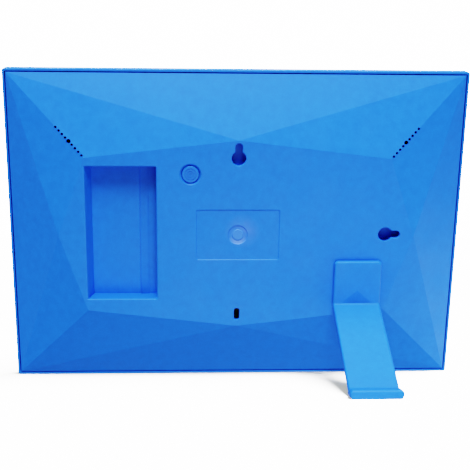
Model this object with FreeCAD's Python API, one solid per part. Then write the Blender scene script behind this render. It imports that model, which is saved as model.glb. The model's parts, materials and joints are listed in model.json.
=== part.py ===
import FreeCAD, Part

import math
import os

# A ten-inch digital photo frame, resting on its bottom edge and on a swivelling stand.
# It is drawn upright in millimetres: X along the width, Y out of the back, Z up, with Y = 0
# at the bezel's back edge. lean_back() then tips every piece onto the table.

Vector = FreeCAD.Vector

# Case
width = 262.0
height = 184.0
lean = 16.0
bezel_depth = 9.0
front_thickness = 1.6
rim = 1.3
parting_gap = 0.7
rebate_depth = 3.0
bezel_wall = 3.5
corner_radius = 1.4
front_edge_radius = 1.2
back_edge_radius = 0.4
wall = 2.0
cover_wall = 1.8
rise = 15.0
middle = height / 2

# Flat plateau of the faceted back: half extents measured from the middle
plateau_top = 55.0
plateau_side = 101.3
plateau_corner_x = 86.0
plateau_corner_z = 45.0

# Connector pocket in the back
pocket_x = (46.2, 86.0)
pocket_z = (54.0, 132.0)
pocket_depth = 10.0
pocket_draft = 2.9
pocket_wall = 2.0
pocket_channel_x = (50.8, 56.0)
pocket_channel_depth = 1.3
pocket_channel_step = 0.8
pocket_corner = 0.9

# Wall hanging, lock slot and label recess
keyhole_radius = 4.0
keyhole_slot_radius = 2.05
keyhole_slot_length = 6.4
keyhole_pocket_depth = 5.6
keyhole_wall = 1.5
keyhole_side_room = 1.8
top_keyhole = (0.0, middle + 44.8)
side_keyhole = (-84.8, middle + 0.8)
lock_slot = (3.0, 7.0)
lock_slot_z = middle - 47.7
lock_slot_corner = 1.3
label_half = (23.5, 14.6)
label_z = middle + 0.5
label_depth = 0.4
gate_radius = 5.3
gate_nub_radius = 3.3
gate_depth = 0.45
pocket_round = 0.8
keyhole_round = 0.6
slot_round = 0.5
label_bevel = 0.38
gate_bevel = 0.42

# Power button
button_x = 27.0
button_z = middle + 35.7
button_radius = 4.8
button_gap = 0.2
button_chamfer = 1.2
button_round = 0.5
button_rings = (1.7, 3.1)
button_ring_half = 0.25
button_dot_radius = 0.7
button_groove = 0.25
button_flange_radius = 7.0
button_guide_radius = 7.6
button_guide_end = 11.2
plunger_radius = 1.6

# Speakers behind the rows of holes on the two upper creases
speaker_radius = 12.0
speaker_front = 4.4
speaker_depth = 5.0
gasket_thickness = 0.6
grille_start = 0.657
grille_end = 0.975
grille_holes = 9
grille_radius = 0.75
grille_middle_radius = 1.25
speaker_ear = 15.6
speaker_seat_wall = 1.2
magnet_radius = 7.5

# Display stack, front to back
window_half = (109.5, 69.0)
glass_half = (117.0, 76.5)
glass_thickness = 1.0
tape_thickness = 0.5
panel_half = (114.7, 74.7)
panel_thickness = 1.4
sheet_half = (112.2, 72.2)
diffuser_thickness = 0.4
guide_thickness = 1.7
reflector_thickness = 0.2
tray_thickness = 0.5
tray_half = (117.1, 77.1)
tray_boss = (121.8, 50.0)
tray_lug_end = 125.2
tray_lug_half = 4.0
led_room = 3.2
led_count = 30
led_span = 216.0
led_half_width = 1.75
led_height = 2.0
led_strip_half = 110.0
led_strip_height = 0.8
fit_gap = 0.2
panel_flex_x = (-60.0, 0.0, 60.0)
panel_flex_half = 12.0
flex_thickness = 0.2

# Electronics
board_x = (-38.0, 43.9)
board_z = (50.0, 134.0)
board_back = 5.6
board_thickness = 1.6
board_corner = 1.5
board_hole_x = (-34.0, 40.0)
board_hole_z = (53.2, 130.0)
driver_z = (18.0, 28.0)
driver_half = 100.0
connector_z = (55.0, 60.0)
connector_height = 1.8
cable_thickness = 0.3
cable_rise = (46.0, 52.0)
display_cable_x = (-8.0, 22.0)
touch_flex_x = (-24.0, -14.0)

# Stand
stand_x = -69.7
stand_width = 27.4
stand_thickness = 3.2
stand_gap = 0.3
stand_corner_radius = 2.3
stand_front_round = 1.2
stand_back_round = 1.1
head_height = 25.8
pivot_height = 12.35
bend_z = 51.7
leg_angle = 68.1
lip_length = 7.6
lip_width = 29.0
lip_start = 1.4
lip_rise = 1.7
lip_corner = 2.4
lip_round = 1.5
pivot_radius = 8.0
pivot_clearance = 0.06
pivot_end = 9.4
pivot_guide_end = 10.4
pivot_guide_radius = 11.0
pivot_washer_radius = 10.8

# Snap hooks round the case
snap_x = (34.0, 92.0)
snap_z = (22.0, middle, 162.0)
snap_width = 7.0
snap_root = -6.8
snap_catch = (-6.3, -5.2)
snap_catch_gap = 0.3

# Connectors on the pocket's side wall: Z span, and height above the board
port_places = {
    "dc": ((112.6, 121.6), 6.8),
    "usb": ((95.6, 110.1), 6.6),
    "micro_usb": ((85.6, 93.4), 2.9),
    "card": ((56.6, 83.6), 3.0),
}

# Screws
screw_radius = 1.2
screw_head_radius = 2.3
screw_head_height = 1.5
screw_head_round = 0.5
screw_cross = (1.2, 0.25)
screw_cross_depth = 0.7
screw_fit = 0.02
boss_radius = 2.9

# Levels worked out from the sizes above
cos_lean = math.cos(math.radians(lean))
sin_lean = math.sin(math.radians(lean))
floor_height = back_edge_radius * (cos_lean + sin_lean - 1)
cover_half = (width / 2 - rim - parting_gap, height / 2 - rim - parting_gap)
bezel_inner_half = (width / 2 - bezel_wall, height / 2 - bezel_wall)
glass_front = -bezel_depth + front_thickness
glass_back = glass_front + glass_thickness
panel_front = glass_back + tape_thickness
panel_back = panel_front + panel_thickness
flex_level = (panel_front + panel_back) / 2
guide_front = panel_back + diffuser_thickness
guide_back = guide_front + guide_thickness
tray_front = guide_back + reflector_thickness
tray_back = tray_front + tray_thickness
skin_inside = rise - wall
pocket_floor = rise - pocket_depth
board_front = board_back - board_thickness
port_face = pocket_x[0] - fit_gap
driver_back = tray_back + 1.0
cable_level = driver_back + cable_thickness / 2
panel_edge_z = middle - panel_half[1]
head_inner = rise + stand_gap
head_outer = head_inner + stand_thickness
head_top = bend_z + head_height
pivot_z = bend_z + pivot_height


def box(x, y, z):
    """A block between pairs of X, Y and Z values."""
    return Part.makeBox(x[1] - x[0], y[1] - y[0], z[1] - z[0], Vector(x[0], y[0], z[0]))


def around(centre, half):
    """The pair of values either side of a centre."""
    return (centre - half, centre + half)


def rod(x, z, radius, y):
    """A cylinder along Y."""
    return Part.makeCylinder(radius, y[1] - y[0], Vector(x, y[0], z), Vector(0, 1, 0))


def tube(x, z, outer, inner, y):
    """A ring along Y."""
    return rod(x, z, outer, y).cut(rod(x, z, inner, y))


def slab(half, y, radius=0.0):
    """A plate centred on the frame, with rounded corners where radius is given."""
    plate = box(around(0, half[0]), y, around(middle, half[1]))
    return round_edges(plate, Vector(0, 1, 0), radius) if radius else plate


def ring_slab(outer, inner, y):
    """A rectangular ring centred on the frame."""
    return slab(outer, y).cut(slab(inner, y))


def inset(half, amount):
    return (half[0] - amount, half[1] - amount)


def edge_direction(edge):
    direction = edge.Vertexes[-1].Point.sub(edge.Vertexes[0].Point)
    return direction.normalize() if direction.Length > 1e-6 else Vector()


def round_edges(shape, direction, radius, keep=None):
    """Round the straight edges that run along a direction and pass the keep test."""
    chosen = []
    for edge in shape.Edges:
        straight = isinstance(edge.Curve, Part.Line)
        if not straight or abs(edge_direction(edge).dot(direction)) < 0.999:
            continue
        if keep is None or keep(edge.CenterOfMass):
            chosen.append(edge)
    return shape.makeFillet(radius, chosen)


def join(shapes):
    """One solid from pieces that touch or overlap."""
    return shapes[0].multiFuse(shapes[1:]).removeSplitter()


def group(shapes):
    """Separate identical solids kept in one piece list."""
    return Part.makeCompound(shapes)


def faceted(half, base, top):
    """The back's folded form: four corners rising in flat facets to an eight-sided plateau."""
    corners = [
        Vector(half[0] * sx, base, middle + half[1] * sz)
        for sx, sz in ((-1, 1), (1, 1), (1, -1), (-1, -1))
    ]
    plateau = [
        Vector(x, top, middle + z)
        for x, z in (
            (0, plateau_top),
            (plateau_corner_x, plateau_corner_z),
            (plateau_side, 0),
            (plateau_corner_x, -plateau_corner_z),
            (0, -plateau_top),
            (-plateau_corner_x, -plateau_corner_z),
            (-plateau_side, 0),
            (-plateau_corner_x, plateau_corner_z),
        )
    ]
    outlines = [corners, plateau]
    for side in range(4):
        here = corners[side]
        after = corners[(side + 1) % 4]
        mid_edge = plateau[2 * side]
        next_corner = plateau[2 * side + 1]
        next_mid = plateau[(2 * side + 2) % 8]
        outlines.append([here, after, mid_edge])
        outlines.append([after, mid_edge, next_corner])
        outlines.append([after, next_corner, next_mid])
    faces = [Part.Face(Part.makePolygon(points + points[:1])) for points in outlines]
    solid = Part.Solid(Part.Shell(faces))
    return solid if solid.Volume > 0 else solid.reversed()


def back_form():
    """The outside of the rear cover as a filled solid, with its skirt."""
    skirt = slab(cover_half, (-rebate_depth, 0))
    return join([faceted(cover_half, 0, rise), skirt])


def back_hollow():
    """The space inside the rear cover's skin."""
    inner_half = inset(cover_half, cover_wall)
    base = -wall * 0.6
    skirt = slab(inner_half, (-rebate_depth - 1, base))
    return join([faceted(inner_half, base, skin_inside), skirt])


def capsule(x, z, end_x, end_z, radius, y):
    """A slot with round ends, cut along Y."""
    length = math.hypot(end_x - x, end_z - z)
    bar = box((-radius, radius), y, (0, length))
    angle = math.degrees(math.atan2(end_x - x, end_z - z))
    bar.rotate(Vector(), Vector(0, 1, 0), angle)
    bar.translate(Vector(x, 0, z))
    return join([bar, rod(x, z, radius, y), rod(end_x, end_z, radius, y)])


def keyhole_end(centre, direction):
    return (
        centre[0] + direction[0] * keyhole_slot_length,
        centre[1] + direction[1] * keyhole_slot_length,
    )


def keyhole_cut(centre, direction):
    """A round entry for the screw head, with a narrow slot leading up from it."""
    through = (skin_inside - 1, rise + 1)
    end = keyhole_end(centre, direction)
    entry = rod(centre[0], centre[1], keyhole_radius, through)
    return join([entry, capsule(*centre, *end, keyhole_slot_radius, through)])


def keyhole_room(centre, direction, margin, y):
    """The closed box behind a keyhole, or its cavity with no margin."""
    end = keyhole_end(centre, direction)
    reach = keyhole_radius + keyhole_side_room + margin
    x = (min(centre[0], end[0]) - reach, max(centre[0], end[0]) + reach)
    z = (min(centre[1], end[1]) - reach, max(centre[1], end[1]) + reach)
    return box(x, y, z)


def pocket_cavity():
    """The open pocket: one long wall slopes, and a shallow channel runs down its floor."""
    outline = [
        Vector(pocket_x[0], rise + 1, pocket_z[0]),
        Vector(pocket_x[0], pocket_floor, pocket_z[0]),
        Vector(pocket_x[1] - pocket_draft, pocket_floor, pocket_z[0]),
        Vector(pocket_x[1], rise, pocket_z[0]),
        Vector(pocket_x[1], rise + 1, pocket_z[0]),
    ]
    face = Part.Face(Part.makePolygon(outline + outline[:1]))
    cavity = face.extrude(Vector(0, 0, pocket_z[1] - pocket_z[0]))
    cavity = round_edges(
        cavity,
        Vector(0, 1, 0),
        pocket_corner,
        lambda point: point.x < pocket_x[0] + 1,
    )
    channel = box(
        pocket_channel_x,
        (pocket_floor - pocket_channel_depth, pocket_floor + 1),
        (pocket_z[0] - pocket_channel_step, pocket_z[1]),
    )
    return cavity, channel


def grille_points(side):
    """Hole centres along the crease from an upper corner to the plateau."""
    start = (side * width / 2, height)
    end = (side * plateau_corner_x, middle + plateau_corner_z)
    points = []
    for index in range(grille_holes):
        share = grille_start + (grille_end - grille_start) * index / (grille_holes - 1)
        x = start[0] + (end[0] - start[0]) * share
        z = start[1] + (end[1] - start[1]) * share
        points.append((x, z))
    return points


def speaker_centre(side):
    return grille_points(side)[grille_holes // 2]


def speaker_bosses(side):
    x, z = speaker_centre(side)
    return [(x - side * speaker_ear, z), (x, z - speaker_ear)]


def board_bosses():
    return [(x, z) for x in board_hole_x for z in board_hole_z]


def snap_places():
    """Centre and outward direction of each snap hook around the case."""
    half_x, half_z = inset(cover_half, cover_wall)
    level = [(side * x, middle + s * half_z, 0, s) for x in snap_x for side in (-1, 1) for s in (-1, 1)]
    return level + [(side * half_x, z, side, 0) for z in snap_z for side in (-1, 1)]


def snap_block(place, width_along, inward, outward, y):
    """A block across the case wall at one snap place."""
    x, z, out_x, out_z = place
    if out_x:
        return box(sorted((x - out_x * inward, x + out_x * outward)), y, around(z, width_along / 2))
    return box(around(x, width_along / 2), y, sorted((z - out_z * inward, z + out_z * outward)))


def snap_catches(gap=0.0):
    """The hooks' catches, or with a gap the recesses in the bezel that hold them."""
    levels = (snap_catch[0] - gap, snap_catch[1] + gap)
    width_along = snap_width + 2 * gap
    return [snap_block(place, width_along, 0.5, 1.1 + gap, levels) for place in snap_places()]


def snap_hooks():
    """The tongues that reach down from the cover's skirt, with their catches."""
    levels = (snap_root, 0)
    tongues = [snap_block(place, snap_width, 1.7, 0.05, levels) for place in snap_places()]
    return tongues + snap_catches()


def ports():
    """Each connector's place along the pocket's side wall: Z span and Y span of its mouth."""
    return {name: (z, (board_back, board_back + high)) for name, (z, high) in port_places.items()}


def port_block(name, depth, gap=0.0, from_x=None):
    """The block that a connector fills, reaching into the pocket's wall."""
    z, y = ports()[name]
    start = port_face - depth if from_x is None else from_x
    end = port_face if from_x is None else pocket_x[0] + 0.5
    return box((start, end), (y[0] - gap, y[1] + gap), (z[0] - gap, z[1] + gap))


def keyholes():
    """Each keyhole's centre and the direction of its slot."""
    return ((top_keyhole, (0, 1)), (side_keyhole, (-1, 0)))


def keyhole_levels():
    return (skin_inside - keyhole_pocket_depth, skin_inside)


def cover_inside():
    """What stands on the inside of the skin: pocket, guides, keyhole boxes, seats and bosses."""
    under_skin = rise - 1
    inside = [
        box(
            (pocket_x[0] - pocket_wall, pocket_x[1] + pocket_wall),
            (pocket_floor - pocket_wall, under_skin),
            (pocket_z[0] - pocket_wall, pocket_z[1] + pocket_wall),
        ),
        rod(button_x, button_z, button_guide_radius, (button_guide_end, under_skin)),
        rod(stand_x, pivot_z, pivot_guide_radius, (pivot_guide_end, under_skin)),
    ]
    box_levels = (keyhole_levels()[0] - keyhole_wall, under_skin)
    inside += [keyhole_room(*keyhole, keyhole_wall, box_levels) for keyhole in keyholes()]
    for side in (-1, 1):
        x, z = speaker_centre(side)
        seat = (speaker_front + gasket_thickness, rise)
        inside.append(tube(x, z, speaker_radius + speaker_seat_wall, speaker_radius, seat))
        inside += [rod(*place, boss_radius, (speaker_front, rise)) for place in speaker_bosses(side)]
    inside += [rod(*place, boss_radius, (board_back, under_skin)) for place in board_bosses()]
    return inside


def cover_openings():
    """Everything cut through or into the skin."""
    through = (skin_inside - 1, rise + 1)
    guide = (pivot_guide_end - 1, rise + 1)
    slot = box(around(0, lock_slot[0] / 2), through, around(lock_slot_z, lock_slot[1] / 2))
    cuts = [
        *pocket_cavity(),
        *[keyhole_cut(*keyhole) for keyhole in keyholes()],
        *[keyhole_room(*keyhole, 0, keyhole_levels()) for keyhole in keyholes()],
        round_edges(slot, Vector(0, 1, 0), lock_slot_corner),
        label_recess(),
        rod(button_x, button_z, button_radius + button_gap, guide),
        Part.makeCone(
            button_radius + button_gap,
            button_radius + button_gap + button_chamfer,
            button_chamfer,
            Vector(button_x, rise - button_chamfer, button_z),
            Vector(0, 1, 0),
        ),
        rod(stand_x, pivot_z, pivot_radius + pivot_clearance, guide),
    ]
    for side in (-1, 1):
        for index, (x, z) in enumerate(grille_points(side)):
            big = index == grille_holes // 2
            radius = grille_middle_radius if big else grille_radius
            cuts.append(rod(x, z, radius, (speaker_front + 1, rise + 1)))
        cuts += [screw_hole(place, speaker_front) for place in speaker_bosses(side)]
    cuts += [screw_hole(place, board_back) for place in board_bosses()]
    cuts += [port_block(name, 0, fit_gap, pocket_x[0] - pocket_wall - 0.5) for name in ports()]
    return cuts


def mouth_edges(shape, x, z, level):
    """The edges that lie at one level inside a window, such as the mouth of a hole."""
    edges = []
    for edge in shape.Edges:
        bounds = edge.BoundBox
        flat = abs(bounds.YMin - level) < 0.01 and abs(bounds.YMax - level) < 0.01
        inside_x = x[0] < bounds.XMin and bounds.XMax < x[1]
        if flat and inside_x and z[0] < bounds.ZMin and bounds.ZMax < z[1]:
            edges.append(edge)
    return edges


def soften_mouths(cover):
    """The moulded-in rounding round the pocket, keyholes and lock slot, and the recess's bevels."""
    margin = 1.0
    pocket = ((pocket_x[0] - margin, pocket_x[1] + margin), (pocket_z[0] - margin, pocket_z[1] + margin))
    cover = cover.makeFillet(pocket_round, mouth_edges(cover, *pocket, rise))
    for (x, z), _ in keyholes():
        reach = keyhole_slot_length + keyhole_radius
        mouth = mouth_edges(cover, around(x, reach), around(z, reach), rise)
        cover = cover.makeFillet(keyhole_round, mouth)
    slot = (around(0, lock_slot[0]), around(lock_slot_z, lock_slot[1]))
    cover = cover.makeFillet(slot_round, mouth_edges(cover, *slot, rise))
    label = (around(0, label_half[0] + margin), around(label_z, label_half[1] + margin))
    cover = cover.makeChamfer(label_bevel, mouth_edges(cover, *label, rise))
    gate = (around(0, gate_radius + margin), around(label_z, gate_radius + margin))
    return cover.makeChamfer(gate_bevel, mouth_edges(cover, *gate, rise - label_depth))


def rear_cover():
    form = back_form()
    skin = form.cut(back_hollow())
    inside = [piece.common(form) for piece in cover_inside()]
    cover = join([skin] + inside + snap_hooks())
    return soften_mouths(cover.cut(cover_openings()))


def label_recess():
    """The shallow blank recess for a label, with the moulding gate's dish and nub in it."""
    floor = rise - label_depth
    recess = box(around(0, label_half[0]), (floor, rise + 1), around(label_z, label_half[1]))
    recess = round_edges(recess, Vector(0, 1, 0), 1.0)
    dish = tube(0, label_z, gate_radius, gate_nub_radius, (floor - gate_depth, floor + 0.1))
    return recess.fuse(dish)


def screw_hole(place, start):
    return rod(*place, screw_radius + screw_fit, (start - 0.1, start + 6.2))


def front_bezel():
    outer = slab((width / 2, height / 2), (-bezel_depth, 0), corner_radius)
    outer = outer.makeFillet(
        front_edge_radius,
        [edge for edge in outer.Edges if edge.BoundBox.YMax < -bezel_depth + 0.01],
    )
    outer = outer.makeFillet(
        back_edge_radius,
        [edge for edge in outer.Edges if edge.BoundBox.YMin > -0.01],
    )
    hollow = slab(bezel_inner_half, (glass_front, 1), 0.8)
    rebate_half = (width / 2 - rim, height / 2 - rim)
    rebate = slab(rebate_half, (-rebate_depth, 1), 0.8)
    window = slab(window_half, (-bezel_depth - 1, glass_front + 1), 1.0)
    bevel = window_bevel()
    bosses = [rod(*place, boss_radius, (glass_front - 0.2, tray_front)) for place in tray_bosses()]
    bezel = outer.cut([hollow, rebate, window, bevel]).multiFuse(bosses)
    holes = [
        rod(*place, screw_radius + screw_fit, (tray_front - 4.8, tray_front + 1))
        for place in tray_bosses()
    ]
    return bezel.cut(holes + snap_catches(snap_catch_gap))


def window_bevel():
    """The sloping edge that leads the eye from the bezel's face down to the glass."""
    bevel = 1.2
    front = Part.makePolygon(rectangle(window_half[0] + bevel, window_half[1] + bevel, -bezel_depth))
    back = Part.makePolygon(rectangle(window_half[0], window_half[1], -bezel_depth + bevel))
    return Part.makeLoft([front, back], True)


def rectangle(half_x, half_z, y):
    """The closed outline of a rectangle centred on the frame."""
    corners = [
        Vector(half_x * sx, y, middle + half_z * sz)
        for sx, sz in ((-1, -1), (1, -1), (1, 1), (-1, 1))
    ]
    return corners + corners[:1]


def tray_bosses():
    return [(sx * tray_boss[0], middle + sz * tray_boss[1]) for sx in (-1, 1) for sz in (-1, 1)]


def screws(places, head_face, points_back, length):
    """Pan-head screws along Y, with their heads on one face."""
    pieces = []
    for x, z in places:
        way = 1 if points_back else -1
        shank = rod(x, z, screw_radius, sorted((head_face, head_face + way * length)))
        head = rod(x, z, screw_head_radius, sorted((head_face, head_face - way * screw_head_height)))
        top = head_face - way * screw_head_height
        rim_edges = [edge for edge in head.Edges if abs(edge.CenterOfMass.y - top) < 0.1]
        head = head.makeFillet(screw_head_round, rim_edges)
        slot_y = sorted((top + way * screw_cross_depth, top - way))
        cross = [
            box(around(x, half_x), slot_y, around(z, half_z))
            for half_x, half_z in (screw_cross, screw_cross[::-1])
        ]
        pieces.append(head.fuse(shank).cut(cross))
    return group(pieces)


def screen_tape():
    """The adhesive ring that holds the touch glass to the panel."""
    return ring_slab(inset(glass_half, 0.8), inset(window_half, -1), (glass_back, panel_front))


def backlight_frame():
    outer = inset(tray_half, 0.6)
    frame = slab(outer, (panel_front, tray_front))
    panel_room = slab(inset(panel_half, -fit_gap), (panel_front - 1, panel_back))
    light_room = slab(inset(sheet_half, -fit_gap), (panel_back - 1, tray_front + 1))
    return frame.cut([panel_room, light_room] + flex_notches())


def backlight_tray():
    """The steel tray behind the light guide, with folded sides and four screw lugs."""
    back = slab(tray_half, (tray_front, tray_back))
    sides = ring_slab(tray_half, inset(tray_half, 0.5), (panel_front + 0.5, tray_front))
    lugs = []
    for x, z in tray_bosses():
        reach = sorted((math.copysign(tray_half[0] - 1, x), math.copysign(tray_lug_end, x)))
        lugs.append(box(reach, (tray_front, tray_back), around(z, tray_lug_half)))
    tray = join([back, sides] + lugs)
    holes = [
        rod(*place, screw_radius + screw_fit, (tray_front - 1, tray_back + 1))
        for place in tray_bosses()
    ]
    return tray.cut(holes + flex_notches())


def flex_notches():
    """Gaps in the frame and tray where the panel's flexes pass out."""
    y = around(flex_level, 0.4)
    z = (middle - tray_half[1] - 1, panel_edge_z + 0.1)
    return [box(around(x, panel_flex_half + 0.6), y, z) for x in panel_flex_x]


def offset_path(points, distance):
    """The points moved sideways by a distance, with mitred corners. Points are (Y, Z)."""
    moved = []
    for index, point in enumerate(points):
        normals = []
        for first, second in ((index - 1, index), (index, index + 1)):
            if first < 0 or second >= len(points):
                continue
            run_y = points[second][0] - points[first][0]
            run_z = points[second][1] - points[first][1]
            length = math.hypot(run_y, run_z)
            normals.append((run_z / length, -run_y / length))
        sum_y = sum(normal[0] for normal in normals)
        sum_z = sum(normal[1] for normal in normals)
        dot = sum_y * normals[0][0] + sum_z * normals[0][1]
        moved.append((point[0] + distance * sum_y / dot, point[1] + distance * sum_z / dot))
    return moved


def strip(points, thickness, x, centred=True):
    """A flat strip bent along a line of (Y, Z) points and as wide as the X pair."""
    near = offset_path(points, -thickness / 2) if centred else points
    far = offset_path(points, thickness / 2 if centred else thickness)
    outline = [Vector(x[0], y, z) for y, z in near + far[::-1]]
    face = Part.Face(Part.makePolygon(outline + outline[:1]))
    return face.extrude(Vector(x[1] - x[0], 0, 0))


def panel_flex():
    """The flexes that wrap from the panel's lower edge round to the driver board."""
    turn_z = middle - tray_half[1] - 0.9
    back = driver_back + flex_thickness / 2
    path = [(flex_level, panel_edge_z), (flex_level, turn_z), (back, turn_z), (back, turn_z + 7)]
    return group([strip(path, flex_thickness, around(x, panel_flex_half)) for x in panel_flex_x])


def driver_board():
    return box(around(0, driver_half), (tray_back + fit_gap, driver_back), driver_z)


def ribbon(x, start):
    """A flat cable that runs up behind the tray and into a connector under the main board."""
    entry = board_front - connector_height / 2
    path = start + [(cable_level, cable_rise[0]), (entry, cable_rise[1]), (entry, connector_z[0])]
    return strip(path, cable_thickness, x)


def display_cable():
    return ribbon(display_cable_x, [(cable_level, driver_z[0] + 6.5)])


def touch_flex():
    """The flex from the touch glass's back, round the tray and up to the main board."""
    level = glass_back + cable_thickness / 2
    below = middle - tray_half[1] - 2.6
    start = [(level, middle - glass_half[1] + 0.5), (level, below), (cable_level, below)]
    return ribbon(touch_flex_x, start)


def connector(cable_x, overhang):
    """A low socket under the main board that takes a flat cable."""
    x = (cable_x[0] - overhang, cable_x[1] + overhang)
    return box(x, (board_front - connector_height, board_front), connector_z)


def light_guide():
    z = (middle - sheet_half[1] + led_room, middle + sheet_half[1])
    return box(around(0, sheet_half[0]), (guide_front, guide_back), z)


def led_strip():
    bottom = middle - sheet_half[1]
    z = (bottom, bottom + led_strip_height)
    return box(around(0, led_strip_half), (guide_front + 0.1, guide_back - 0.1), z)


def backlight_leds():
    start = middle - sheet_half[1] + led_strip_height
    y = (guide_front + 0.2, guide_back - 0.2)
    leds = []
    for index in range(led_count):
        x = led_span * (index / (led_count - 1) - 0.5)
        leds.append(box(around(x, led_half_width), y, (start, start + led_height)))
    return group(leds)


def main_board():
    board = box(board_x, (board_front, board_back), board_z)
    board = round_edges(board, Vector(0, 1, 0), board_corner)
    holes = [
        rod(*place, screw_radius + 0.2, (board_front - 1, board_back + 1))
        for place in board_bosses()
    ]
    return board.cut(holes)


def chip(x, z, half_x, half_z, thickness):
    return box(around(x, half_x), (board_back, board_back + thickness), around(z, half_z))


def dc_axis(radius, length):
    """A cylinder along the power jack's axis, starting at the bottom of its bore."""
    z, y = ports()["dc"]
    start = Vector(port_face - 9.5, sum(y) / 2, sum(z) / 2)
    return Part.makeCylinder(radius, length, start, Vector(1, 0, 0))


def dc_jack():
    return port_block("dc", 13.5).cut(dc_axis(2.9, 10))


def dc_jack_pin():
    pin = dc_axis(1.0, 8.6)
    tip = pin.BoundBox.XMax
    return pin.makeFillet(0.4, [edge for edge in pin.Edges if edge.BoundBox.XMin > tip - 0.01])


def socket_shell(name, depth, metal):
    """A folded metal shell, open towards the pocket."""
    z, y = ports()[name]
    room = box(
        (port_face - depth + metal, port_face + 1),
        (y[0] + metal, y[1] - metal),
        (z[0] + metal, z[1] - metal),
    )
    return port_block(name, depth).cut(room)


def socket_tongue(name, depth, metal, length, thickness, side_gap):
    """The insulating tongue inside a socket, rooted in its back wall."""
    z, y = ports()[name]
    level = (y[0] + y[1]) / 2 + (0.8 if name == "usb" else 0)
    back = port_face - depth + metal
    blade = box(
        (back, back + length),
        around(level, thickness / 2),
        (z[0] + side_gap, z[1] - side_gap),
    )
    root = box((back, back + 1.5), (y[0] + metal, y[1] - metal), (z[0] + metal, z[1] - metal))
    return join([blade, root])


def card_socket():
    """A memory card socket: a low steel cover over an open slot."""
    z, y = ports()["card"]
    block = port_block("card", 27)
    slot = box((port_face - 25, port_face + 1), (y[0] + 0.4, y[1] - 0.3), (z[0] + 1.2, z[1] - 1.2))
    return block.cut(slot)


def power_switch():
    body = chip(button_x, button_z, 3.1, 3.1, 3.0)
    bore = rod(button_x, button_z, plunger_radius + 0.1, (board_back + 1.6, board_back + 4))
    return body.cut(bore)


def switch_plunger():
    return rod(button_x, button_z, plunger_radius, (board_back + 2.4, board_back + 3.8))


def power_button():
    """The cap, flush with the back, with turned rings and a flange that stops it falling out."""
    face = rise - 0.1
    cap = rod(button_x, button_z, button_radius, (button_guide_end - 0.4, face))
    rim_edges = [edge for edge in cap.Edges if edge.BoundBox.YMin > face - 0.01]
    cap = cap.makeFillet(button_round, rim_edges)
    flange_back = button_guide_end - 0.3
    flange = rod(button_x, button_z, button_flange_radius, (flange_back - 1, flange_back))
    stem = rod(button_x, button_z, plunger_radius, (board_back + 3.8, flange_back - 0.9))
    groove = (face - button_groove, face + 1)
    rings = [
        tube(button_x, button_z, radius + button_ring_half, radius - button_ring_half, groove)
        for radius in button_rings
    ]
    dot = rod(button_x, button_z, button_dot_radius, groove)
    return join([cap, flange, stem]).cut(rings + [dot])


def speaker(side):
    x, z = speaker_centre(side)
    front = speaker_front
    ear_y = (front - 1.0, front)
    ears = [capsule(x, z, *place, 3.0, ear_y) for place in speaker_bosses(side)]
    basket = rod(x, z, speaker_radius, (front - 2.2, front))
    magnet = rod(x, z, magnet_radius, (front - speaker_depth, front - 2))
    body = join([basket, magnet] + ears)
    bowl = Part.makeCone(4, 9.6, 1.2, Vector(x, front - 1.2, z), Vector(0, 1, 0))
    dome = Part.makeSphere(6, Vector(x, front - 6.2, z)).common(rod(x, z, 3.6, (front - 1.3, front)))
    holes = [
        rod(*place, screw_radius + 0.1, (front - 2, front + 1)) for place in speaker_bosses(side)
    ]
    return body.cut(bowl).fuse(dome).cut(holes)


def speaker_gaskets():
    rings = []
    level = (speaker_front, speaker_front + gasket_thickness)
    for side in (-1, 1):
        x, z = speaker_centre(side)
        rings.append(tube(x, z, speaker_radius + 0.6, speaker_radius - 1.8, level))
    return group(rings)


def lead(points, radius):
    """A round wire along straight runs joined by tangent arcs."""
    edges = []
    start = points[0]
    for before, corner, after in zip(points, points[1:], points[2:]):
        back = before.sub(corner)
        ahead = after.sub(corner)
        reach = 0.45 * min(back.Length, ahead.Length)
        half_turn = (math.pi - back.getAngle(ahead)) / 2
        arc_radius = reach / math.tan(half_turn)
        entry = corner.add(back.normalize().multiply(reach))
        leave = corner.add(ahead.normalize().multiply(reach))
        inward = entry.add(leave).multiply(0.5).sub(corner).normalize()
        crown = corner.add(inward.multiply(arc_radius * (1 / math.cos(half_turn) - 1)))
        edges.append(Part.LineSegment(start, entry).toShape())
        edges.append(Part.Arc(entry, crown, leave).toShape())
        start = leave
    edges.append(Part.LineSegment(start, points[-1]).toShape())
    section = Part.Wire([Part.makeCircle(radius, points[0], points[1].sub(points[0]))])
    return Part.Wire(edges).makePipeShell([section], True, False)


def speaker_lead(side):
    """The wire from a speaker's magnet to its connector under the main board."""
    x, z = speaker_centre(side)
    low = speaker_front - 3.1
    level = board_front - 1.4
    points = [
        Vector(x - side * 5.1, low, z + 5.2),
        Vector(side * 74, low, z + 3.6),
        Vector(side * 54, low + 0.5, z - 2),
        Vector(side * 36, level, z - 5),
        Vector(side * 24, level, z - 6.5),
        Vector(side * 20, level, board_z[1] - 1),
    ]
    return lead(points, 0.7)


def speaker_connectors():
    z = (board_z[1] - 7, board_z[1] - 1)
    return group([box(around(x, 3), (board_front - 3, board_front), z) for x in (-20, 20)])


def stand_path():
    """The stand's outer face as (Y, Z) points: head, bend, leg, and the lip along the floor."""
    leg = math.radians(leg_angle)
    height_of_bend = bend_z * cos_lean - head_outer * sin_lean
    drop = height_of_bend - floor_height - stand_thickness
    leg_length = drop / math.cos(leg - math.radians(lean))
    heel = (head_outer + leg_length * math.sin(leg), bend_z - leg_length * math.cos(leg))
    toe = (heel[0] + lip_length * cos_lean, heel[1] + lip_length * sin_lean)
    return [(head_outer, head_top), (head_outer, bend_z), heel, toe]


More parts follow.
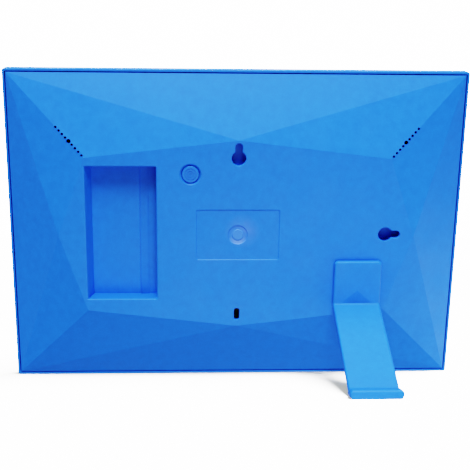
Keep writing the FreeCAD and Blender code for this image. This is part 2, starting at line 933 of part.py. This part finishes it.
def stand_lip():
    """The wider bar at the foot, proud of the leg, with rounded ends."""
    heel = stand_path()[2]
    corner = Vector(-lip_width / 2, lip_start, -stand_thickness)
    bar = Part.makeBox(lip_width, lip_length - lip_start, stand_thickness + lip_rise, corner)
    bar = round_edges(bar, Vector(0, 1, 0), lip_corner)
    end = [edge for edge in bar.Edges if edge.BoundBox.YMin > lip_length - 0.01]
    bar = bar.makeFillet(lip_round, end)
    bar.rotate(Vector(), Vector(1, 0, 0), lean)
    bar.translate(Vector(stand_x, heel[0], heel[1]))
    return bar


def stand_blade():
    """Head, leg and toe as one bent strip, with soft bends and moulded edges."""
    path = stand_path()
    bend, heel = path[1:3]
    under_bend, under_heel = offset_path(path, stand_thickness)[1:3]
    blade = strip(path, stand_thickness, around(stand_x, stand_width / 2), centred=False)
    blade = round_edges(blade, Vector(0, 1, 0), stand_corner_radius, lambda p: p.z > head_top - 0.1)
    for place, radius in ((bend, 1.2), (heel, 1.6), (under_bend, 3.0), (under_heel, 2.0)):
        blade = round_edges(blade, Vector(1, 0, 0), radius, beside(place))
    blade = blade.makeFillet(stand_front_round, stand_rim(blade, path))
    under_path = offset_path(path, stand_thickness)
    return blade.makeFillet(stand_back_round, stand_rim(blade, under_path))


def beside(place):
    """A test for edges that run along X at one (Y, Z) place."""
    return lambda point: math.dist((point.y, point.z), place) < 0.1


def stand_rim(blade, path):
    """The edges round one face of the blade: those along its sides and over its head."""
    face_line = Part.makePolygon([Vector(stand_x, y, z) for y, z in path])
    rim = []
    for edge in blade.Edges:
        centre = edge.CenterOfMass
        gap = face_line.distToShape(Part.Vertex(stand_x, centre.y, centre.z))[0]
        runs_across = abs(edge_direction(edge).x) > 0.999 and centre.z < head_top - 0.1
        if gap < stand_thickness / 4 and not runs_across:
            rim.append(edge)
    return rim


def stand():
    pivot = rod(stand_x, pivot_z, pivot_radius, (pivot_end, head_inner + 1))
    hole = rod(stand_x, pivot_z, screw_radius + screw_fit, (pivot_end - 1, pivot_end + 6))
    return join([stand_blade(), stand_lip(), pivot]).cut([stand_dart(), hole])


def stand_dart():
    """A shallow three-sided facet pressed into the head just above the bend."""
    half_base = 9.5
    reach = 8.2
    depth = 0.9
    leg = math.radians(leg_angle)
    low = Vector(stand_x, head_outer - depth, bend_z + depth / math.tan(leg))
    apex = Vector(stand_x, head_outer, bend_z + reach)
    left = Vector(stand_x - half_base, head_outer, bend_z)
    right = Vector(stand_x + half_base, head_outer, bend_z)
    outlines = [(apex, left, right), (apex, left, low), (apex, right, low), (left, right, low)]
    faces = [Part.Face(Part.makePolygon([a, b, c, a])) for a, b, c in outlines]
    solid = Part.Solid(Part.Shell(faces))
    return solid if solid.Volume > 0 else solid.reversed()


def stand_washer():
    return tube(stand_x, pivot_z, pivot_washer_radius, screw_radius + 0.1, (pivot_end - 1, pivot_end))


def stand_wave_washer():
    """The spring washer that presses the stand's head against the back."""
    levels = (pivot_end, pivot_end + 0.6)
    return tube(stand_x, pivot_z, pivot_washer_radius - 0.2, pivot_radius + 0.3, levels)


def build():
    top = board_back
    return {
        "front_bezel": front_bezel(),
        "rear_cover": rear_cover(),
        "touch_glass": slab(glass_half, (glass_front, glass_back), 1.5),
        "screen_tape": screen_tape(),
        "lcd_panel": slab(panel_half, (panel_front, panel_back)),
        "diffuser_sheet": slab(sheet_half, (panel_back, guide_front)),
        "light_guide": light_guide(),
        "reflector_sheet": slab(sheet_half, (guide_back, tray_front)),
        "led_strip": led_strip(),
        "backlight_leds": backlight_leds(),
        "backlight_frame": backlight_frame(),
        "backlight_tray": backlight_tray(),
        "display_screws": screws(tray_bosses(), tray_back, False, 5.0),
        "panel_flex": panel_flex(),
        "driver_board": driver_board(),
        "display_cable": display_cable(),
        "touch_flex": touch_flex(),
        "display_connector": connector(display_cable_x, 2.0),
        "touch_connector": connector(touch_flex_x, 1.5),
        "main_board": main_board(),
        "board_screws": screws(board_bosses(), board_front, True, 7.0),
        "processor": chip(5, 98, 7.5, 7.5, 1.3),
        "memory_chips": group([chip(-14, z, 4.5, 6.5, 1.0) for z in (90, 106)]),
        "flash_chip": chip(5, 78, 5.8, 6.5, 1.0),
        "power_inductors": group([chip(-29, z, 3, 3, 3.0) for z in (66, 75, 84)]),
        "power_capacitors": group([rod(x, 112, 2.5, (top, top + 5.4)) for x in (20, 27)]),
        "wifi_module": chip(-24, 121, 6, 6, 2.0),
        "dc_jack": dc_jack(),
        "dc_jack_pin": dc_jack_pin(),
        "usb_socket": socket_shell("usb", 14, 0.4),
        "usb_tongue": socket_tongue("usb", 14, 0.4, 12.5, 1.8, 1.7),
        "micro_usb_socket": socket_shell("micro_usb", 6, 0.35),
        "micro_usb_tongue": socket_tongue("micro_usb", 6, 0.35, 4.8, 0.6, 1.9),
        "card_socket": card_socket(),
        "power_switch": power_switch(),
        "switch_plunger": switch_plunger(),
        "power_button": power_button(),
        "speaker_left": speaker(1),
        "speaker_right": speaker(-1),
        "speaker_gaskets": speaker_gaskets(),
        "speaker_screws": screws(speaker_bosses(1) + speaker_bosses(-1), speaker_front - 1, True, 6.0),
        "speaker_lead_left": speaker_lead(1),
        "speaker_lead_right": speaker_lead(-1),
        "speaker_connectors": speaker_connectors(),
        "stand": stand(),
        "stand_washer": stand_washer(),
        "stand_wave_washer": stand_wave_washer(),
        "stand_screw": screws([(stand_x, pivot_z)], pivot_end - 1, True, 5.5),
    }


def lean_back(pieces):
    """Tip every piece back onto the table and centre the whole on the origin."""
    for shape in pieces.values():
        shape.rotate(Vector(), Vector(1, 0, 0), -lean)
    whole = Part.makeCompound(list(pieces.values())).optimalBoundingBox()
    shift = Vector(-whole.Center.x, -whole.Center.y, -whole.ZMin)
    for shape in pieces.values():
        shape.translate(shift)
    return shift


def main():
    os.makedirs("parts", exist_ok=True)
    pieces = build()
    shift = lean_back(pieces)
    for name, shape in pieces.items():
        shape.exportStep("parts/" + name + ".step")
        print(name, len(shape.Solids), round(shape.Volume, 1), shape.isValid())
    print("shift", shift)


main()
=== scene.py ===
import json
import math

import bmesh
import bpy
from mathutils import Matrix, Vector


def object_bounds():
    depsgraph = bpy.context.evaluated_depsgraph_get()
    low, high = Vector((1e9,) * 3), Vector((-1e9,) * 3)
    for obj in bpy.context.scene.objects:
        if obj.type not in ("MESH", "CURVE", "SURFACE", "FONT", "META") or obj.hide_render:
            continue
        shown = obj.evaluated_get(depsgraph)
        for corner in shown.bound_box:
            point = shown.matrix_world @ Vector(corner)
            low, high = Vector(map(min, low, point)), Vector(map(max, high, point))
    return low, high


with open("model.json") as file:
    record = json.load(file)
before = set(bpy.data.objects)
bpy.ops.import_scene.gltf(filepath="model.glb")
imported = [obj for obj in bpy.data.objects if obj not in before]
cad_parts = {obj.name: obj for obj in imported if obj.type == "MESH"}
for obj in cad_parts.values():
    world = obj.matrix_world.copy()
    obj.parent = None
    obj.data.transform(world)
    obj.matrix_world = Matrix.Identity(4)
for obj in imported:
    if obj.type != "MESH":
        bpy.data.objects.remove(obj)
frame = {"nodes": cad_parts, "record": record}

# The looks of a digital photo frame, seen from behind on a pale table. Units are metres.

MM = 0.001
cad_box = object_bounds()
box_middle = (cad_box[0] + cad_box[1]) / 2
nodes = frame["nodes"]
mounts = {mount["name"]: mount for mount in frame["record"]["mounts"]}
back_normal = Vector(mounts["label_recess"]["axis"])
up_slope = Vector((1, 0, 0)).cross(back_normal)
lean = math.atan2(-back_normal.z, back_normal.y)

# Camera: behind the frame, a little to one side, level with its middle. The angles are in
# degrees, and the lens and sensor in millimetres.
CAMERA_FROM_CENTRE = Vector((29.3, 529.3, 0.9)) * MM
CAMERA_PITCH = 89.393
CAMERA_HEADING = 177.017
CAMERA_LENS = 71.55
CAMERA_SENSOR = 36.0

# Light: name, elevation, heading and strength of each soft sun, with angles in degrees.
# Heading 0 is straight behind the frame, on the camera's side, and a positive heading turns
# towards -X. The spread is the sun's width.
SUNS = (
    ("key", 45, 0, 0.985),
    ("top", 78, 0, 0.40),
    ("left", 15, -70, 0.21),
    ("low_right", -20, 70, 0.05),
    ("front", 38, 180, 0.75),
)
SUN_SPREAD = 25

# Small soft lamps near the back: name, place from the middle of the object, size and watts
LAMPS = (
    ("lamp_right", Vector((-240, 20, -130)) * MM, 160 * MM, 0.16),
    ("lamp_low", Vector((-50, 280, -250)) * MM, 350 * MM, 0.72),
    ("lamp_top", Vector((0, 200, 330)) * MM, 350 * MM, 0.5),
)

# The floor has a sun of its own, which washes it white and leaves soft shadows. A faint glow
# in the floor lifts them.
WASH = ("wash", 62, 50, 14.0)
WASH_SPREAD = 40
SHADOW_LIFT = (0.30, 0.275, 0.04)

# World: even light, a white backdrop, and a studio that only gloss reflects. Each of its
# gradients runs between two levels along an axis of a unit sphere.
AMBIENT_STRENGTH = 0.172
BACKDROP_STRENGTH = 12.0
OVERHEAD_STRENGTH = 1.4
OVERHEAD_RISE = (0.05, 0.95)
TABLE_STRENGTH = 1.0
TABLE_FADE = (0.1, 0.65)
BELOW_FADE = (-0.3, 0)
WHITE = (1, 1, 1, 1)

# Floor, with its squares along a side
FLOOR_HALF = 6.0
FLOOR_SQUARES = 24
FLOOR_PALES = ((0.8, 0.8, 0.8, 1), (0.84, 0.84, 0.84, 1))
FLOOR_ROUGHNESS = (0.75, 0.85)

# Noise textures: blotches per metre, detail and roughness
CLOUDS = (14, 3, 0.55)
MOTTLE = (240, 3, 0.6)
SPECKLE = (1500, 2, 0.6)
PLASTIC_SHEEN = (60, 4, 0.6)
GATE_TATTERS = (220, 4)
SMEARS = (38, 5, 0.6)
GLASS_CLOUDS = (9, 2)
METAL_GRAIN = (700, 3, 0.6)
METAL_SHEEN = (90, 4)
MASK_CLOUDS = (30, 2)
MASK_SHEEN = (50, 3)
FLOOR_CLOUDS = (3, 2)
FLOOR_SHEEN = (5, 2)

# Noise lies mostly between these two values
NOISE_LOW = 0.3
NOISE_HIGH = 0.7

# Moulded plastic. Shades multiply the colour, shares say how far mottle and speckle show,
# and the gloss is added to a roughness.
PLASTIC_IOR = 1.5
PLASTIC_SPECULAR = 0.18
CLOUD_SHADES = (0.95, 1.01)
MOTTLE_SHADE = 1.16
MOTTLE_SHARE = 0.8
SPECKLE_SHADE = 0.82
SPECKLE_SHARE = 0.4
PLASTIC_ROUGHNESS = 0.45
PLASTIC_GLOSS = (-0.05, 0.07)
GRAIN_SCALE = 2200
GRAIN_DETAIL = 3
GRAIN_ROUGHNESS = 0.65
GRAIN_DEPTH = 0.02 * MM
MOTTLE_DEPTH = 3 * GRAIN_DEPTH
MOTTLE_STRENGTH = 0.5

# The case's blue, how the stand's and the button's differ from it, and the button's
# roughness and finer grain
BLUE = (0.0265, 0.153, 0.70)
STAND_SHADE = 1.04
BUTTON_SHADE = 0.96
BUTTON_FINISH = (0.4, 3200)

# The moulding gate. Places are across the back and up its slope, and a reach is a radius
# with the width of its soft edge. The recess's mount is on its flat floor, beside the gate.
GATE_FROM_MOUNT = (-15 * MM, 6.5 * MM)
BLOOM_FROM_GATE = (-2.6 * MM, 2.2 * MM)
# Painted highlight: the rim is lightened on its lower arc, below the gate, where light catches it
HIGHLIGHT_FROM_GATE = (0, -5 * MM)
BLOOM_REACH = (2 * MM, 8.5 * MM)
NUB_REACH = (3.2 * MM, 0.6 * MM)
RIM_REACH = (5.3 * MM, 0.6 * MM)
HIGHLIGHT_REACH = (2 * MM, 4 * MM)
TATTER_LIMITS = (0.2, 0.42)
# The nub's pale tone is stress whitening with a painted highlight on it, in the pale colour below
NUB_WHITENING_AND_HIGHLIGHT = 0.35
BLUSH = (0.13, 0.2, 0.72, 1)
GATE_WHITE_AND_HIGHLIGHT = (0.12, 0.24, 0.8, 1)

# Cover glass
GLASS_IOR = 1.52
GLASS_COAT_ROUGHNESS = 0.02
GLASS_ROUGHNESS = (0.03, 0.11)
GLASS_BLACKS = ((0.004, 0.004, 0.005, 1), (0.008, 0.009, 0.012, 1))

# Metal
METAL_SHADES = (0.82, 1.1)
METAL_GLOSS = (-0.03, 0.04)
METAL_GRAIN_DEPTH = 0.01 * MM

# Circuit boards. Each block is a cell with a random value, which says whether its tracks run
# across, along or not at all. A wave texture makes 20 radians to the unit at a scale of 1.
BLOCKS_PER_METRE = 150
PADS_PER_METRE = 330
ACROSS_ABOVE = 0.62
ALONG_BELOW = 0.34
TRACK_PITCH = 0.8 * MM
TRACK_SCALE = 2 * math.pi / (20 * TRACK_PITCH)
TRACK_EDGE = (0.45, 0.6)
TRACK_DEPTH = 0.03 * MM
PAD_EDGE = (0.13, 0.16)
MASK_GREENS = ((0.004, 0.06, 0.024, 1), (0.007, 0.085, 0.034, 1))
TRACK_GREEN = (0.014, 0.14, 0.052, 1)
PAD_TIN = (0.5, 0.5, 0.46, 1)
BOARD_ROUGHNESS = (0.24, 0.36)

# Foam, with painted shade in the hollow middle of each cell
FOAM_CELLS_PER_METRE = 1800
FOAM_BLACKS = ((0.012, 0.012, 0.012, 1), (0.05, 0.05, 0.052, 1))
FOAM_ROUGHNESS = (0.85, 1.0)
FOAM_DEPTH = 0.15 * MM

# Slots of plain plastic, glass or film: colour and roughness
PLASTICS = {
    "panel_glass": ((0.02, 0.021, 0.024), 0.25),
    "white_film": ((0.75, 0.76, 0.77), 0.4),
    "clear_acrylic": ((0.7, 0.76, 0.78), 0.12),
    "flex_film": ((0.36, 0.15, 0.03), 0.3),
    "led_package": ((0.8, 0.72, 0.3), 0.3),
    "white_plastic": ((0.7, 0.7, 0.68), 0.5),
    "chip_plastic": ((0.02, 0.02, 0.022), 0.55),
    "connector_plastic": ((0.66, 0.62, 0.5), 0.5),
    "ferrite": ((0.07, 0.07, 0.075), 0.6),
    "jack_plastic": ((0.014, 0.014, 0.015), 0.42),
    "speaker_basket": ((0.03, 0.03, 0.033), 0.6),
    "lead_insulation": ((0.28, 0.015, 0.012), 0.45),
}

# Slots of metal: colour, roughness and a factor on each axis, which draws the grain out
# where it is below 1
METALS = {
    "tray_steel": ((0.6, 0.61, 0.62), 0.35, (0.1, 1, 1)),
    "screw_steel": ((0.5, 0.5, 0.51), 0.3, (1, 1, 1)),
    "spring_steel": ((0.32, 0.34, 0.38), 0.3, (1, 1, 1)),
    "capacitor_can": ((0.72, 0.72, 0.73), 0.25, (1, 1, 1)),
    "shield_can": ((0.66, 0.66, 0.63), 0.3, (1, 1, 0.1)),
    "contact_metal": ((0.72, 0.58, 0.3), 0.25, (1, 1, 1)),
    "port_metal": ((0.62, 0.62, 0.61), 0.28, (0.1, 1, 1)),
}


def make_camera():
    data = bpy.data.cameras.new("camera")
    data.lens = CAMERA_LENS
    data.sensor_width = CAMERA_SENSOR
    camera = bpy.data.objects.new("camera", data)
    camera.location = box_middle + CAMERA_FROM_CENTRE
    camera.rotation_euler = (math.radians(CAMERA_PITCH), 0, math.radians(CAMERA_HEADING))
    bpy.context.scene.collection.objects.link(camera)
    bpy.context.scene.camera = camera


class Nodes:
    """A node tree being put together."""

    def __init__(self, tree):
        self.tree = tree

    def node(self, kind, inputs=None, **attributes):
        made = self.tree.nodes.new(kind)
        for name, value in attributes.items():
            setattr(made, name, value)
        for name, value in (inputs or {}).items():
            self.feed(made.inputs[name], value)
        return made

    def feed(self, socket, value):
        """Link an output to a socket, or set a plain value on it."""
        if isinstance(value, bpy.types.NodeSocket):
            self.tree.links.new(value, socket)
        else:
            socket.default_value = value

    def spread(self, value, low, high, source=(NOISE_LOW, NOISE_HIGH), curve="LINEAR"):
        """A value remapped from its source's limits to new ones, and held between them."""
        inputs = {
            "Value": value,
            "From Min": source[0],
            "From Max": source[1],
            "To Min": low,
            "To Max": high,
        }
        made = self.node("ShaderNodeMapRange", inputs, interpolation_type=curve)
        return made.outputs["Result"]

    def maths(self, operation, *values):
        made = self.node("ShaderNodeMath", operation=operation)
        for socket, value in zip(made.inputs, values):
            self.feed(socket, value)
        return made.outputs[0]


class Paint(Nodes):
    """A node material being put together around one Principled shader."""

    def __init__(self, name, **settings):
        self.material = bpy.data.materials.new(name)
        self.material.use_nodes = True
        super().__init__(self.material.node_tree)
        self.shader = self.tree.nodes["Principled BSDF"]
        self.coords = self.node("ShaderNodeTexCoord").outputs["Object"]
        for socket, value in settings.items():
            self.set(socket.replace("_", " "), value)

    def set(self, socket, value):
        self.feed(self.shader.inputs[socket], value)

    def noise(self, scale, detail, roughness=0.5, coords=None):
        inputs = {
            "Vector": coords or self.coords,
            "Scale": scale,
            "Detail": detail,
            "Roughness": roughness,
        }
        return self.node("ShaderNodeTexNoise", inputs).outputs["Fac"]

    def cells(self, scale, coords=None, distance="EUCLIDEAN"):
        """Random cells: the colour of each, and the distance to its middle."""
        inputs = {"Vector": coords or self.coords, "Scale": scale}
        made = self.node("ShaderNodeTexVoronoi", inputs, distance=distance)
        return made.outputs["Color"], made.outputs["Distance"]

    def upright(self, scale=(1, 1, 1)):
        """The coordinates turned upright with the frame, times a factor on each axis."""
        turned = self.node(
            "ShaderNodeMapping",
            {"Vector": self.coords, "Rotation": (lean, 0, 0)},
            vector_type="TEXTURE",
        )
        return self.node(
            "ShaderNodeMapping", {"Vector": turned.outputs[0], "Scale": scale}
        ).outputs[0]

    def blend(self, factor, first, second):
        """Two colours mixed. Sockets 6 and 7 are a mix node's colours, and output 2 its result."""
        made = self.node("ShaderNodeMix", data_type="RGBA")
        for index, value in ((0, factor), (6, first), (7, second)):
            self.feed(made.inputs[index], value)
        return made.outputs[2]

    def bump(self, height, depth, strength=1.0, under=None):
        """A normal from a height, where depth is in metres."""
        inputs = {"Height": height, "Distance": depth, "Strength": strength}
        if under is not None:
            inputs["Normal"] = under
        return self.node("ShaderNodeBump", inputs).outputs["Normal"]

    def near(self, centre, reach, soft):
        """1 inside a distance of a point and 0 outside it, with a soft edge."""
        gap = self.node("ShaderNodeVectorMath", operation="DISTANCE")
        self.feed(gap.inputs[0], self.coords)
        self.feed(gap.inputs[1], centre)
        return self.spread(gap.outputs["Value"], 1.0, 0.0, (reach, reach + soft))


def shade(colour, factor):
    return tuple(min(1.0, channel * factor) for channel in colour[:3]) + (1.0,)


def around(middle, changes):
    return [middle + change for change in changes]


def over_back(start, across, up):
    """The point a distance across the back and a distance up its slope from another one."""
    return start + Vector((across, 0, 0)) + up_slope * up


def moulded(name, colour, rough=PLASTIC_ROUGHNESS, grain_scale=GRAIN_SCALE, marks=None):
    """Satin moulded plastic: fine eroded grain, mottling, faint flow clouds and uneven gloss."""
    paint = Paint(name, IOR=PLASTIC_IOR, Specular_IOR_Level=PLASTIC_SPECULAR)
    mottle = paint.noise(*MOTTLE)
    clouds = paint.spread(paint.noise(*CLOUDS), 0, 1)
    tone = paint.blend(clouds, *[shade(colour, factor) for factor in CLOUD_SHADES])
    tone = paint.blend(paint.spread(mottle, 0, MOTTLE_SHARE), tone, shade(colour, MOTTLE_SHADE))
    speckle = paint.spread(paint.noise(*SPECKLE), 0, SPECKLE_SHARE)
    tone = paint.blend(speckle, tone, shade(colour, SPECKLE_SHADE))
    if marks:
        tone = marks(paint, tone)
    paint.set("Base Color", tone)
    sheen = paint.noise(*PLASTIC_SHEEN)
    paint.set("Roughness", paint.spread(sheen, *around(rough, PLASTIC_GLOSS)))
    grain = paint.noise(grain_scale, GRAIN_DETAIL, GRAIN_ROUGHNESS)
    fine = paint.bump(grain, GRAIN_DEPTH)
    paint.set("Normal", paint.bump(mottle, MOTTLE_DEPTH, MOTTLE_STRENGTH, fine))
    return paint.material


def gate_blush_and_highlights(paint, tone):
    """Moulding gate in the label recess: violet bloom, whitened nub, painted highlights on nub and
    lower rim.
    """
    gate = over_back(Vector(mounts["label_recess"]["pos_m"]), *GATE_FROM_MOUNT)
    bloom = paint.near(over_back(gate, *BLOOM_FROM_GATE), *BLOOM_REACH)
    nub = paint.near(gate, *NUB_REACH)
    round_nub = paint.maths("MULTIPLY", bloom, paint.maths("SUBTRACT", 1.0, nub))
    tatters = paint.spread(paint.noise(*GATE_TATTERS), *TATTER_LIMITS)
    tone = paint.blend(paint.maths("MULTIPLY", round_nub, tatters), tone, BLUSH)
    rim = paint.maths("SUBTRACT", paint.near(gate, *RIM_REACH), nub)
    # Painted highlight on the rim's lower arc, and on the nub, which is also stress-whitened
    highlight_spot = paint.near(over_back(gate, *HIGHLIGHT_FROM_GATE), *HIGHLIGHT_REACH)
    nub_whitening_and_highlight = paint.maths("MULTIPLY", nub, NUB_WHITENING_AND_HIGHLIGHT)
    whitening_and_highlight = paint.maths("MAXIMUM", nub_whitening_and_highlight, paint.maths("MULTIPLY", rim, highlight_spot))
    return paint.blend(whitening_and_highlight, tone, GATE_WHITE_AND_HIGHLIGHT)


def cover_glass():
    """Black-bordered glass over a switched-off panel, with faint finger smears."""
    paint = Paint(
        "cover_glass", IOR=GLASS_IOR, Coat_Weight=1.0, Coat_Roughness=GLASS_COAT_ROUGHNESS
    )
    paint.set("Roughness", paint.spread(paint.noise(*SMEARS), *GLASS_ROUGHNESS))
    paint.set("Base Color", paint.blend(paint.noise(*GLASS_CLOUDS), *GLASS_BLACKS))
    return paint.material


def metal(name, colour, rough, drawn):
    """Rolled or plated metal with a directional grain and dulled patches."""
    paint = Paint(name, Metallic=1.0)
    grain = paint.noise(*METAL_GRAIN, paint.upright(drawn))
    tones = [shade(colour, factor) for factor in METAL_SHADES]
    paint.set("Base Color", paint.blend(grain, *tones))
    sheen = paint.noise(*METAL_SHEEN)
    paint.set("Roughness", paint.spread(sheen, *around(rough, METAL_GLOSS)))
    paint.set("Normal", paint.bump(grain, METAL_GRAIN_DEPTH))
    return paint.material


def bands(paint, direction, coords):
    """Fine parallel lines, each about as wide as the gap to the next."""
    made = paint.node(
        "ShaderNodeTexWave",
        {"Vector": coords, "Scale": TRACK_SCALE},
        bands_direction=direction,
    )
    return paint.spread(made.outputs["Fac"], 0, 1, TRACK_EDGE)


def circuit_board():
    """Green solder mask over blocks of parallel copper tracks, with tinned square pads."""
    paint = Paint("circuit_board", IOR=PLASTIC_IOR)
    flat = paint.upright()
    colours, _ = paint.cells(BLOCKS_PER_METRE, flat, "CHEBYCHEV")
    value = paint.node("ShaderNodeSeparateColor", {"Color": colours}).outputs["Red"]
    across = paint.maths("GREATER_THAN", value, ACROSS_ABOVE)
    along = paint.maths("LESS_THAN", value, ALONG_BELOW)
    track = paint.maths(
        "ADD",
        paint.maths("MULTIPLY", across, bands(paint, "X", flat)),
        paint.maths("MULTIPLY", along, bands(paint, "Z", flat)),
    )
    _, distance = paint.cells(PADS_PER_METRE, flat, "CHEBYCHEV")
    pad = paint.spread(distance, 1, 0, PAD_EDGE)
    mask = paint.blend(paint.noise(*MASK_CLOUDS), *MASK_GREENS)
    paint.set("Base Color", paint.blend(pad, paint.blend(track, mask, TRACK_GREEN), PAD_TIN))
    paint.set("Metallic", pad)
    paint.set("Roughness", paint.spread(paint.noise(*MASK_SHEEN), *BOARD_ROUGHNESS))
    paint.set("Normal", paint.bump(paint.maths("MAXIMUM", track, pad), TRACK_DEPTH))
    return paint.material


def soft_foam():
    """Open black foam, with painted shade darkest in the hollow middle of each cell."""
    paint = Paint("black_foam")
    _, distance = paint.cells(FOAM_CELLS_PER_METRE)
    # Painted shade: the colour darkens towards each cell's middle, which the bump sinks as a
    # hollow
    paint.set("Base Color", paint.blend(distance, *FOAM_BLACKS))
    paint.set("Roughness", paint.spread(distance, *FOAM_ROUGHNESS))
    paint.set("Normal", paint.bump(distance, FOAM_DEPTH))
    return paint.material


def materials():
    """One material for each material slot in the record."""
    made = {
        "case_plastic": moulded("case_plastic", BLUE, marks=gate_blush_and_highlights),
        "stand_plastic": moulded("stand_plastic", shade(BLUE, STAND_SHADE)),
        "button_plastic": moulded("button_plastic", shade(BLUE, BUTTON_SHADE), *BUTTON_FINISH),
        "cover_glass": cover_glass(),
        "circuit_board": circuit_board(),
        "black_foam": soft_foam(),
    }
    for name, values in PLASTICS.items():
        made[name] = moulded(name, *values)
    for name, values in METALS.items():
        made[name] = metal(name, *values)
    return made


def dress_cad():
    """Every CAD node takes the material of its slot in the record."""
    made = materials()
    for part in frame["record"]["subparts"]:
        piece = nodes[part["node"]]
        piece.data.materials.clear()
        piece.data.materials.append(made[part["material_slot"]])
        for face in piece.data.polygons:
            face.material_index = 0


def make_floor():
    """A plain pale floor that neither lights the object nor shows in its gloss."""
    mesh = bpy.data.meshes.new("floor")
    work = bmesh.new()
    bmesh.ops.create_grid(
        work, x_segments=FLOOR_SQUARES, y_segments=FLOOR_SQUARES, size=FLOOR_HALF
    )
    work.to_mesh(mesh)
    work.free()
    floor = bpy.data.objects.new("floor", mesh)
    bpy.context.scene.collection.objects.link(floor)
    paint = Paint("floor_paint", Emission_Color=(*SHADOW_LIFT, 1), Emission_Strength=1.0)
    paint.set("Base Color", paint.blend(paint.noise(*FLOOR_CLOUDS), *FLOOR_PALES))
    paint.set("Roughness", paint.spread(paint.noise(*FLOOR_SHEEN), *FLOOR_ROUGHNESS))
    mesh.materials.append(paint.material)
    floor.visible_diffuse = False
    floor.visible_glossy = False
    floor.visible_shadow = False
    return floor


def make_sun(name, elevation, heading, strength, spread=SUN_SPREAD):
    """A soft sun. Strength 1 on a white surface that faces it gives a radiance of 1."""
    data = bpy.data.lights.new(name, "SUN")
    data.energy = strength * math.pi
    data.angle = math.radians(spread)
    light = bpy.data.objects.new(name, data)
    height = math.radians(elevation)
    turn = math.radians(heading)
    level = math.cos(height)
    toward = Vector((-math.sin(turn) * level, math.cos(turn) * level, math.sin(height)))
    light.rotation_euler = toward.to_track_quat("Z", "Y").to_euler()
    bpy.context.scene.collection.objects.link(light)
    return light


def make_lamp(name, offset, size, power):
    """A soft round lamp that faces the middle of the object and can't be seen itself."""
    data = bpy.data.lights.new(name, "AREA")
    data.shape = "DISK"
    data.size = size
    data.energy = power
    lamp = bpy.data.objects.new(name, data)
    lamp.location = box_middle + offset
    lamp.rotation_euler = offset.to_track_quat("Z", "Y").to_euler()
    lamp.visible_camera = False
    bpy.context.scene.collection.objects.link(lamp)
    return lamp


def make_light(floor):
    """The object's lights leave the floor alone, and one of its own washes it white."""
    lamps = [make_sun(*sun) for sun in SUNS] + [make_lamp(*lamp) for lamp in LAMPS]
    # The sun on the screen's side leaves no highlights
    bpy.data.objects["front"].visible_glossy = False
    wash = make_sun(*WASH, WASH_SPREAD)
    for lamp, state in [(wash, "INCLUDE")] + [(lamp, "EXCLUDE") for lamp in lamps]:
        receivers = bpy.data.collections.new(lamp.name + "_receivers")
        receivers.objects.link(floor)
        receivers.collection_objects[0].light_linking.link_state = state
        lamp.light_linking.receiver_collection = receivers


def studio_reflection(world):
    """What gloss reflects: a soft light overhead and a white table round the object."""
    direction = world.node("ShaderNodeTexCoord").outputs["Generated"]
    axes = world.node("ShaderNodeSeparateXYZ", {"Vector": direction}).outputs

    def gradient(axis, low, high, source):
        return world.spread(axes[axis], low, high, source, "SMOOTHSTEP")

    overhead = gradient("Z", AMBIENT_STRENGTH, OVERHEAD_STRENGTH, OVERHEAD_RISE)
    nearby = gradient("Y", TABLE_STRENGTH, 0, TABLE_FADE)
    below = gradient("Z", 1, 0, BELOW_FADE)
    return world.maths("ADD", overhead, world.maths("MULTIPLY", nearby, below))


def make_world():
    """Even light from all round, a studio for gloss to reflect, and a white backdrop."""
    studio = bpy.data.worlds.new("studio")
    bpy.context.scene.world = studio
    studio.use_nodes = True
    studio.node_tree.nodes.clear()
    world = Nodes(studio.node_tree)

    def glow(strength):
        inputs = {"Color": WHITE, "Strength": strength}
        return world.node("ShaderNodeBackground", inputs).outputs[0]

    rays = world.node("ShaderNodeLightPath").outputs
    shown = glow(AMBIENT_STRENGTH)
    for ray, strength in (
        ("Is Glossy Ray", studio_reflection(world)),
        ("Is Camera Ray", BACKDROP_STRENGTH),
    ):
        mix = world.node("ShaderNodeMixShader")
        for socket, value in zip(mix.inputs, (rays[ray], shown, glow(strength))):
            world.feed(socket, value)
        shown = mix.outputs[0]
    world.node("ShaderNodeOutputWorld", {"Surface": shown})


make_camera()
make_world()
make_light(make_floor())
dress_cad()
bpy.context.scene.view_settings.view_transform = "Filmic"
bpy.context.scene.view_settings.look = "Very High Contrast"
